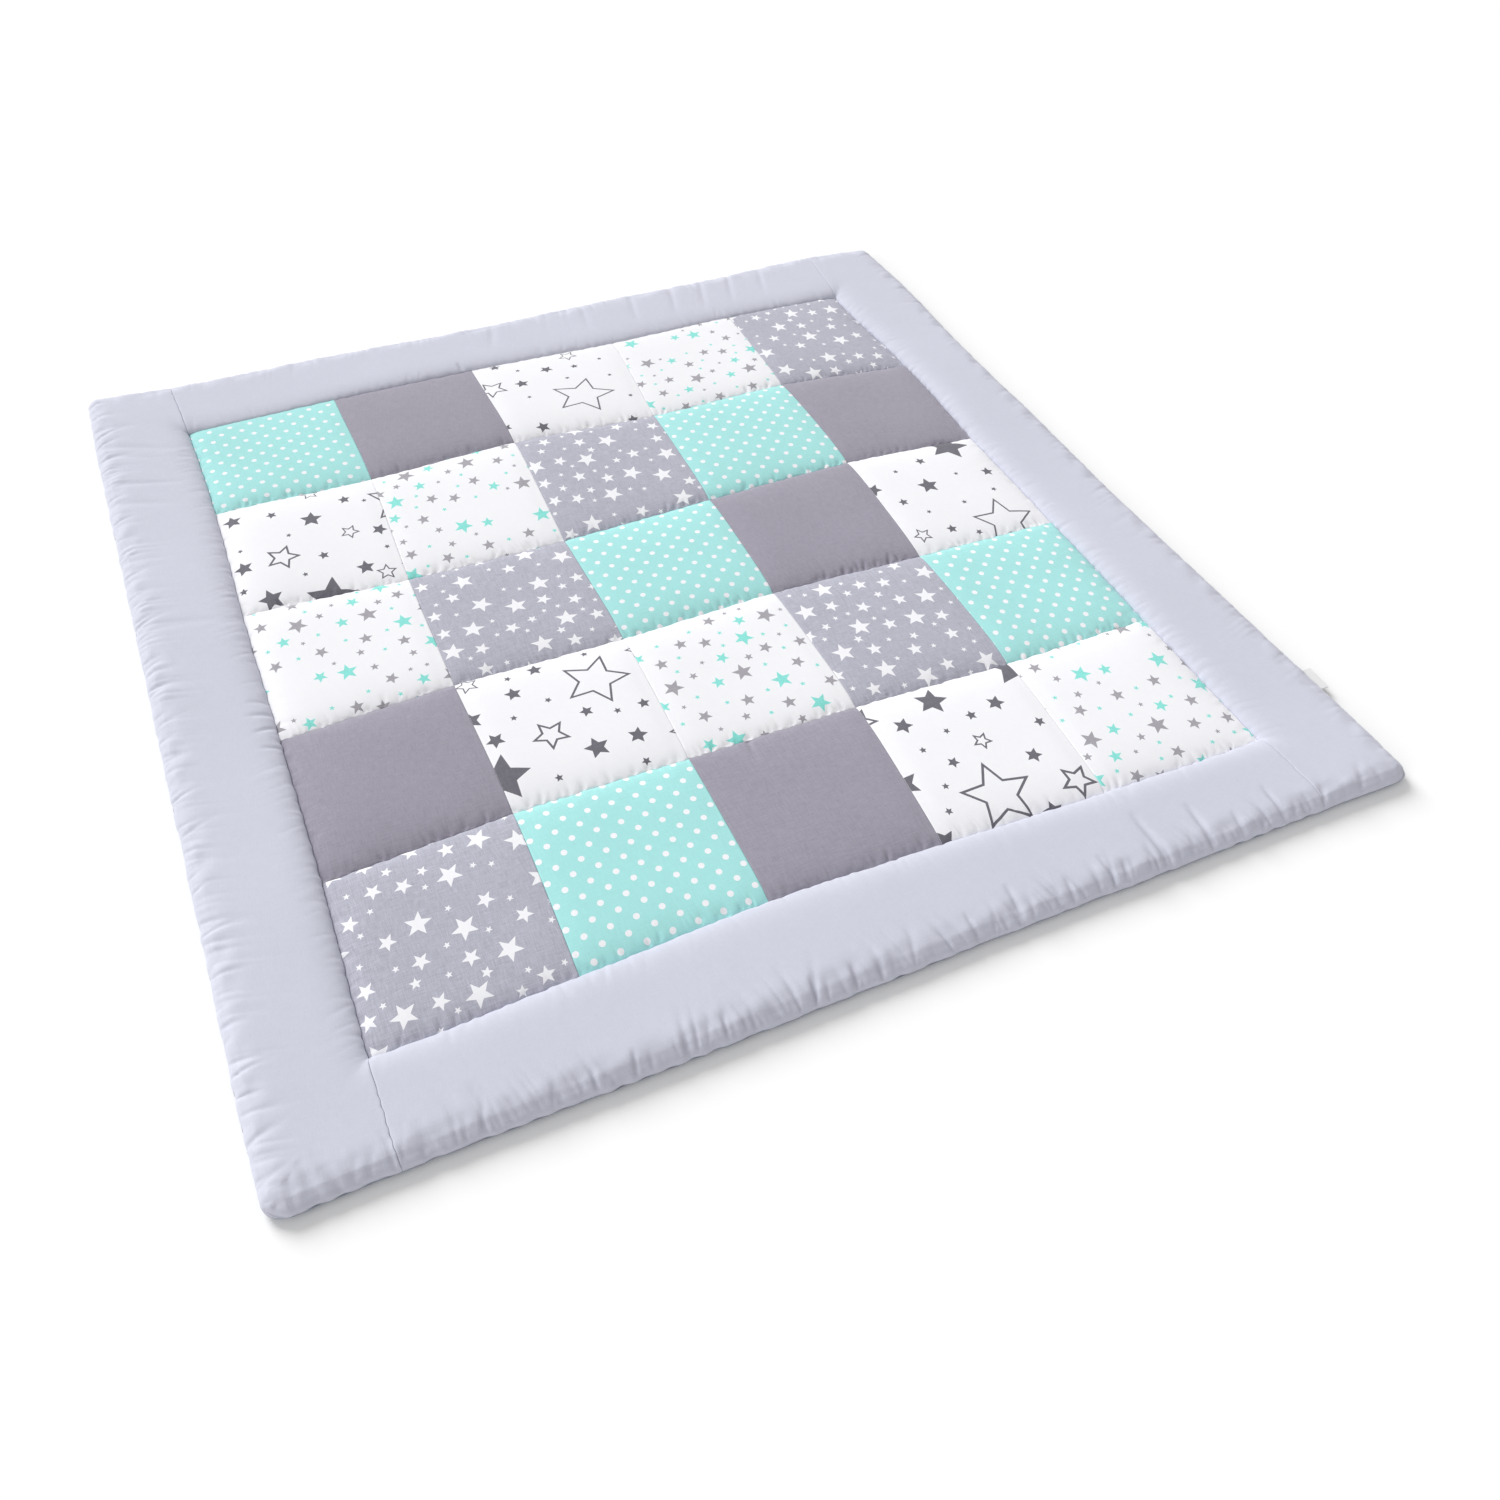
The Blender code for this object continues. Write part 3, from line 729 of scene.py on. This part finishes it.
def outlined_star(x, y, radius, turn, width):
    """An inked star and the smaller bare star inside it, a line's width in from every side."""
    side = LARGE_NOTCH * math.sin(math.radians(36))
    side /= math.sqrt(1 + LARGE_NOTCH**2 - 2 * LARGE_NOTCH * math.cos(math.radians(36)))
    inner = radius - LINE_SHARE * width / side
    return [(star(x, y, radius, turn, LARGE_NOTCH), 1), (star(x, y, inner, turn, LARGE_NOTCH), 0)]


def large_star_print(patch):
    motifs = []
    for x, y, radius, turn, width in LARGE_STARS[patch]:
        if width:
            motifs += outlined_star(x, y, radius, turn, width)
        else:
            motifs.append((star(x, y, radius, turn, LARGE_NOTCH), 1))
    return motifs


def small_star_print(patch, chart, share):
    """The repeat of small stars, moved and turned as this patch was cut from its cloth."""
    right, back, quarters = CUTS[patch]
    angle = math.radians(90 * quarters)
    motifs = []
    for x, y, size, turn, ink in chart:
        radius = share * SMALL_SIZES[size]
        moved_x = x * math.cos(angle) - y * math.sin(angle) + right
        moved_y = x * math.sin(angle) + y * math.cos(angle) + back
        for across in (-REPEAT, 0, REPEAT):
            for down in (-REPEAT, 0, REPEAT):
                u, v = moved_x + across, moved_y + down
                if max(abs(u), abs(v)) < 1000 * PATCH / 2 + radius:
                    motifs.append((star(u, v, radius, turn + 90 * quarters, SMALL_NOTCH), ink))
    return motifs


def dot_print(patch):
    """Rows of round dots, every other row moved by half a step."""
    start_x, start_y = DOT_PLACES[patch]
    motifs = []
    for row in range(-16, 17):
        for step in range(-16, 17):
            if (row + step) % 2:
                continue
            x, y = start_x + step * DOT_HALF_STEP, start_y + row * DOT_HALF_STEP
            if max(abs(x), abs(y)) < 1000 * PATCH / 2 + DOT_RADIUS:
                turns = [2 * math.pi * k / DOT_SIDES for k in range(DOT_SIDES)]
                ring = [(x + DOT_RADIUS * math.cos(t), y + DOT_RADIUS * math.sin(t)) for t in turns]
                motifs.append((ring, 1))
    return motifs


def finely(outline):
    """The same outline with a point at least every few millimetres, so that it follows the crown."""
    points = []
    for a, b in zip(outline, outline[1:] + outline[:1]):
        steps = max(int(math.dist(a, b) / MOTIF_PITCH), 1)
        points += [(a[0] + (b[0] - a[0]) * k / steps, a[1] + (b[1] - a[1]) * k / steps) for k in range(steps)]
    return points


def cut_cloth(x_lines, y_lines, motifs):
    """Triangles over one patch, in mm, with the print's outlines cut in: points, triangles and their inks."""
    left, right, near, far = x_lines[0], x_lines[-1], y_lines[0], y_lines[-1]
    rim = [(x, near) for x in x_lines[:-1]] + [(right, y) for y in y_lines[:-1]]
    rim += [(x, far) for x in x_lines[:0:-1]] + [(left, y) for y in y_lines[:0:-1]]
    points = [Vector(p) for p in rim]
    faces = [list(range(len(rim)))]
    inks = [0]
    outline_points = []
    for outline, ink in motifs:
        ring = finely(outline)
        faces.append(list(range(len(points), len(points) + len(ring))))
        points += [Vector(p) for p in ring]
        outline_points += ring
        inks.append(ink)
    tree = KDTree(len(outline_points) + 1)
    for k, (x, y) in enumerate(outline_points):
        tree.insert((x, y, 0), k)
    # A far point, so that there is one to find on a patch without a print
    tree.insert((0, 0, 1e6), len(outline_points))
    tree.balance()
    reach = 1000 * DENSE_REACH
    for y in y_lines[1:-1]:
        dense = min(y - near, far - y) < reach
        for k, x in enumerate(x_lines[1:-1]):
            beside_seam = min(x - left, right - x) < reach
            clear = tree.find((x, y, 0))[2] > MOTIF_CLEARANCE
            if clear and (dense or beside_seam or k % 2):
                points.append(Vector((x, y)))
    found = delaunay_2d_cdt(points, [], faces, 0, SAME_POINT)
    coordinates = np.array([tuple(p) for p in found[0]])
    triangles = []
    slots = []
    for triangle, origins in zip(found[2], found[5]):
        if 0 in origins:
            triangles.append(list(triangle))
            slots.append(inks[max(origins)])
    return coordinates, triangles, slots


def closed_patch(name, row, column, motifs, materials):
    """One patch of the field: its printed top, its sewn sides and its flat underside."""
    middle = np.array([(column - 3) * PATCH, (3 - row) * PATCH])
    half = PATCH / 2
    x_lines = lines_between(-half, half, SEAM_STEPS, SEAM_STEPS, DENSE_PITCH)
    y_lines = lines_between(-half, half, SEAM_STEPS, SEAM_STEPS, PATCH_PITCH)
    for lines in (x_lines, y_lines):
        lines[0] += GAP / 2
        lines[-1] -= GAP / 2
    plan, triangles, slots = cut_cloth(x_lines * 1000, y_lines * 1000, motifs)
    used = sorted({k for triangle in triangles for k in triangle})
    renumber = {k: n for n, k in enumerate(used)}
    triangles = [[renumber[k] for k in triangle] for triangle in triangles]
    plan = plan[used]
    x, y = (plan / 1000 + middle).T
    top = placed(x, y, field_top(x, y))
    low, high = x_lines[0] * 1000, x_lines[-1] * 1000
    sides = (
        (np.abs(plan[:, 1] - low) < ON_SIDE, plan[:, 0]),
        (np.abs(plan[:, 0] - high) < ON_SIDE, plan[:, 1]),
        (np.abs(plan[:, 1] - high) < ON_SIDE, -plan[:, 0]),
        (np.abs(plan[:, 0] - low) < ON_SIDE, -plan[:, 1]),
    )
    loop = []
    for on_side, order in sides:
        along = np.flatnonzero(on_side)
        loop += along[np.argsort(order[along])][:-1].tolist()
    count = len(top)
    under = top[loop].copy()
    under[:, 2] = FILL_BOTTOM
    points = np.concatenate([top, under]).tolist()
    size = len(loop)
    wall = [[count + k, count + (k + 1) % size, loop[(k + 1) % size], loop[k]] for k in range(size)]
    bottom = [[count + k for k in reversed(range(size))]]
    faces = triangles + wall + bottom
    return made_object(name, points, faces, materials, slots + [0] * (size + 1))


def folded_label(material):
    """A soft tape folded back on itself, with its two ends in the edge seam."""
    half = LABEL_WIDTH / 2
    radius = LABEL_BEND
    straight = LABEL_REACH - radius - LABEL_THICKNESS / 2
    path = [(straight * k / 8, radius, 0, 1) for k in range(8)]
    for k in range(9):
        t = math.pi / 2 - math.pi * k / 8
        path.append((straight + radius * math.cos(t), radius * math.sin(t), math.cos(t), math.sin(t)))
    path += [(straight * (7 - k) / 8, -radius, 0, -1) for k in range(8)]
    reach = np.array([LABEL_MIDDLE_Y - half, LABEL_MIDDLE_Y + half])
    edge_x = placed(np.full(2, SIDE_HALF), reach, np.zeros(2))[:, 0].max() + GAP
    rows = np.linspace(-half, half, 13)
    points = []
    for way in (0.5, -0.5):
        for y in rows:
            for out, up, normal_out, normal_up in path:
                curl = LABEL_CURL * math.sin(90 * y + 0.6) * (out / LABEL_REACH) ** 2
                shift = way * LABEL_THICKNESS
                right = edge_x + out + shift * normal_out
                height = LABEL_HEIGHT + up + curl + shift * normal_up
                points.append((right, LABEL_MIDDLE_Y + y, height))
    return made_object("label_tape", points, body_faces(len(rows), len(path)), [material])


def cotton(name, colour, mottle, slub, weave, sheen=0.15):
    """Woven cotton: its colour, how far that varies, its thick and thin threads and its weave's relief."""
    material = bpy.data.materials.new(name)
    material.use_nodes = True
    nodes, links = material.node_tree.nodes, material.node_tree.links
    shader = nodes["Principled BSDF"]
    shader.inputs["Sheen Weight"].default_value = sheen
    shader.inputs["Sheen Roughness"].default_value = 0.5
    shader.inputs["Specular IOR Level"].default_value = 0.25
    place = nodes.new("ShaderNodeTexCoord")

    def noise(scale, stretch, detail):
        mapping = nodes.new("ShaderNodeMapping")
        mapping.inputs["Scale"].default_value = stretch
        links.new(place.outputs["Object"], mapping.inputs["Vector"])
        texture = nodes.new("ShaderNodeTexNoise")
        texture.inputs["Scale"].default_value = scale
        texture.inputs["Detail"].default_value = detail
        links.new(mapping.outputs["Vector"], texture.inputs["Vector"])
        return texture.outputs["Fac"]

    def maths(operation, a, b):
        node = nodes.new("ShaderNodeMath")
        node.operation = operation
        for socket, value in zip(node.inputs, (a, b)):
            if isinstance(value, (int, float)):
                socket.default_value = value
            else:
                links.new(value, socket)
        return node.outputs[0]

    along = noise(1, ALONG_THREADS, 2)
    across = noise(1, ACROSS_THREADS, 2)
    threads = maths("ADD", along, across)
    blotches = noise(BLOTCH_SCALE, (1, 1, 1), 3)
    lighter = maths("MULTIPLY", maths("SUBTRACT", threads, 1.0), slub)
    softly = maths("MULTIPLY", maths("SUBTRACT", blotches, 0.5), mottle)
    factor = maths("ADD", maths("ADD", lighter, softly), 0.5)
    mix = nodes.new("ShaderNodeMix")
    mix.data_type = "RGBA"
    mix.inputs["A"].default_value = (*[c * 0.5 for c in colour], 1)
    mix.inputs["B"].default_value = (*[c * 1.5 for c in colour], 1)
    links.new(factor, mix.inputs["Factor"])
    links.new(mix.outputs["Result"], shader.inputs["Base Color"])
    rough = maths("ADD", maths("MULTIPLY", threads, 0.08), 0.80)
    links.new(rough, shader.inputs["Roughness"])

    ridges = []
    for axis in ("X", "Y"):
        wave = nodes.new("ShaderNodeTexWave")
        wave.bands_direction = axis
        wave.inputs["Scale"].default_value = RIDGE_SCALE
        wave.inputs["Distortion"].default_value = 0.6
        links.new(place.outputs["Object"], wave.inputs["Vector"])
        ridges.append(wave.outputs["Fac"])
    height = maths("ADD", maths("MULTIPLY", ridges[0], ridges[1]), maths("MULTIPLY", threads, 1.2))
    bump = nodes.new("ShaderNodeBump")
    bump.inputs["Strength"].default_value = 0.6
    bump.inputs["Distance"].default_value = weave
    links.new(height, bump.inputs["Height"])
    links.new(bump.outputs["Normal"], shader.inputs["Normal"])
    return material


def put(piece, nodes):
    """Every piece lies still on the one body and stands for its frame node, which it hides."""
    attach(piece, "root")
    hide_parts(nodes)


def build_field():
    white = cotton("white_cotton", WHITE, 0.03, 0.05, FINE_WEAVE)
    charcoal = cotton("charcoal_ink", CHARCOAL, 0.06, 0.60, FINE_WEAVE)
    mint_ink = cotton("mint_ink", MINT_INK, 0.05, 0.30, FINE_WEAVE)
    grey_ink = cotton("grey_ink", GREY_INK, 0.06, 0.45, FINE_WEAVE)
    mint = cotton("mint_cotton", MINT, 0.08, 0.16, FINE_WEAVE)
    grey = cotton("grey_cotton", GREY, 0.10, 0.40, COARSE_WEAVE, 0.25)
    star_grey = cotton("star_grey_cotton", STAR_GREY, 0.08, 0.55, COARSE_WEAVE, 0.2)
    for row in range(1, PATCHES + 1):
        for column in range(1, PATCHES + 1):
            kind = LAYOUT[row - 1][column - 1]
            patch = (row, column)
            if kind == "M":
                motifs, materials = dot_print(patch), [mint, white]
            elif kind == "B":
                motifs, materials = large_star_print(patch), [white, charcoal]
            elif kind == "S":
                motifs = small_star_print(patch, MIXED_STARS, MIXED_SHARE)
                materials = [white, mint_ink, grey_ink]
            elif kind == "G":
                motifs, materials = small_star_print(patch, WHITE_STARS, WHITE_SHARE), [star_grey, white]
            else:
                motifs, materials = [], [grey]
            piece = closed_patch("patch_%d_%d" % patch, row, column, motifs, materials)
            put(piece, "quilted_field")


def build_border():
    cloth = cotton("border_cloth", BORDER_GREY, 0.05, 0.12, BORDER_WEAVE, 0.2)
    middle = pulled_in(lines_between(-FIELD_HALF, FIELD_HALF, SEAM_STEPS, SEAM_STEPS, DENSE_PITCH))
    low = pulled_in(lines_between(-SIDE_HALF, -FIELD_HALF, EDGE_STEPS, SEAM_STEPS, STRIP_PITCH))
    high = -low[::-1]
    whole = lines_between(-FIELD_HALF, FIELD_HALF, SEAM_STEPS, SEAM_STEPS, DENSE_PITCH)
    outer = lines_between(-SIDE_HALF, -FIELD_HALF, EDGE_STEPS, SEAM_STEPS, DENSE_PITCH)
    full = np.concatenate([outer[:-1], whole, -outer[::-1][1:]])
    strips = (
        ("left", low, full),
        ("right", high, full),
        ("back", middle, high),
        ("front", middle, low),
    )
    for side, x_lines, y_lines in strips:
        piece = grid_body("strip_" + side, x_lines, y_lines, border_top, border_bottom, cloth)
        put(piece, "border_" + side)


def build_backing():
    # The backing cloth's colour is partly its own blue-grey and partly painted shade for the edge band under
    # the border's lip
    cloth = cotton("backing_cloth_with_painted_shade", BACKING_GREY_AND_SHADE, 0.05, 0.12, BORDER_WEAVE)
    full = lines_between(-SIDE_HALF, SIDE_HALF, EDGE_STEPS, EDGE_STEPS, BACKING_PITCH)
    piece = grid_body("backing_sheet", full, full, backing_top, backing_bottom, cloth, outside_the_rest)
    put(piece, "backing")


def build_label():
    tape = cotton("label_cloth", LABEL_WHITE, 0.03, 0.08, TAPE_WEAVE)
    piece = folded_label(tape)
    put(piece, "side_label")


def build_floor():
    mesh = bpy.data.meshes.new("floor")
    plan = ((-1, -1), (1, -1), (1, 1), (-1, 1))
    corners = [(FLOOR_HALF * x, FLOOR_HALF * y, FLOOR_HEIGHT) for x, y in plan]
    mesh.from_pydata(corners, [], [(0, 1, 2, 3)])
    floor = bpy.data.objects.new("floor", mesh)
    bpy.context.scene.collection.objects.link(floor)
    material = bpy.data.materials.new("floor_white")
    material.use_nodes = True
    shader = material.node_tree.nodes["Principled BSDF"]
    shader.inputs["Base Color"].default_value = (FLOOR_WHITE, FLOOR_WHITE, FLOOR_WHITE, 1)
    shader.inputs["Roughness"].default_value = 0.9
    shader.inputs["Specular IOR Level"].default_value = 0.1
    mesh.materials.append(material)


def build_lights():
    world = bpy.data.worlds.new("studio")
    world.use_nodes = True
    ground = world.node_tree.nodes["Background"]
    ground.inputs["Color"].default_value = (1.0, 1.0, 1.0, 1)
    ground.inputs["Strength"].default_value = SKY_STRENGTH
    bpy.context.scene.world = world
    for name, energy, spread, direction in SUNS:
        lamp = bpy.data.lights.new(name, "SUN")
        lamp.energy = energy
        lamp.angle = math.radians(spread)
        body = bpy.data.objects.new(name, lamp)
        body.rotation_euler = Vector(direction).to_track_quat("Z", "Y").to_euler()
        bpy.context.scene.collection.objects.link(body)


def build_camera():
    azimuth, elevation, roll = (math.radians(a) for a in (AZIMUTH, ELEVATION, ROLL))
    back = Vector((
        math.sin(azimuth) * math.cos(elevation),
        -math.cos(azimuth) * math.cos(elevation),
        math.sin(elevation),
    ))
    right = Vector((math.cos(azimuth), math.sin(azimuth), 0))
    up = back.cross(right)
    rolled_right = math.cos(roll) * right + math.sin(roll) * up
    rolled_up = -math.sin(roll) * right + math.cos(roll) * up
    lens = bpy.data.cameras.new("camera")
    lens.sensor_width = SENSOR
    lens.lens = SENSOR * FOCAL_PIXELS / PICTURE
    lens.shift_x = (PICTURE / 2 - PICTURE_MIDDLE[0]) / PICTURE
    lens.shift_y = -(PICTURE / 2 - PICTURE_MIDDLE[1]) / PICTURE
    camera = bpy.data.objects.new("camera", lens)
    turn = Matrix((rolled_right, rolled_up, back)).transposed().to_4x4()
    camera.matrix_world = Matrix.Translation(EYE) @ turn
    bpy.context.scene.collection.objects.link(camera)
    bpy.context.scene.camera = camera


build_camera()
build_lights()
build_floor()
build_field()
build_border()
build_backing()
build_label()
bpy.context.scene.view_settings.view_transform = "Standard"
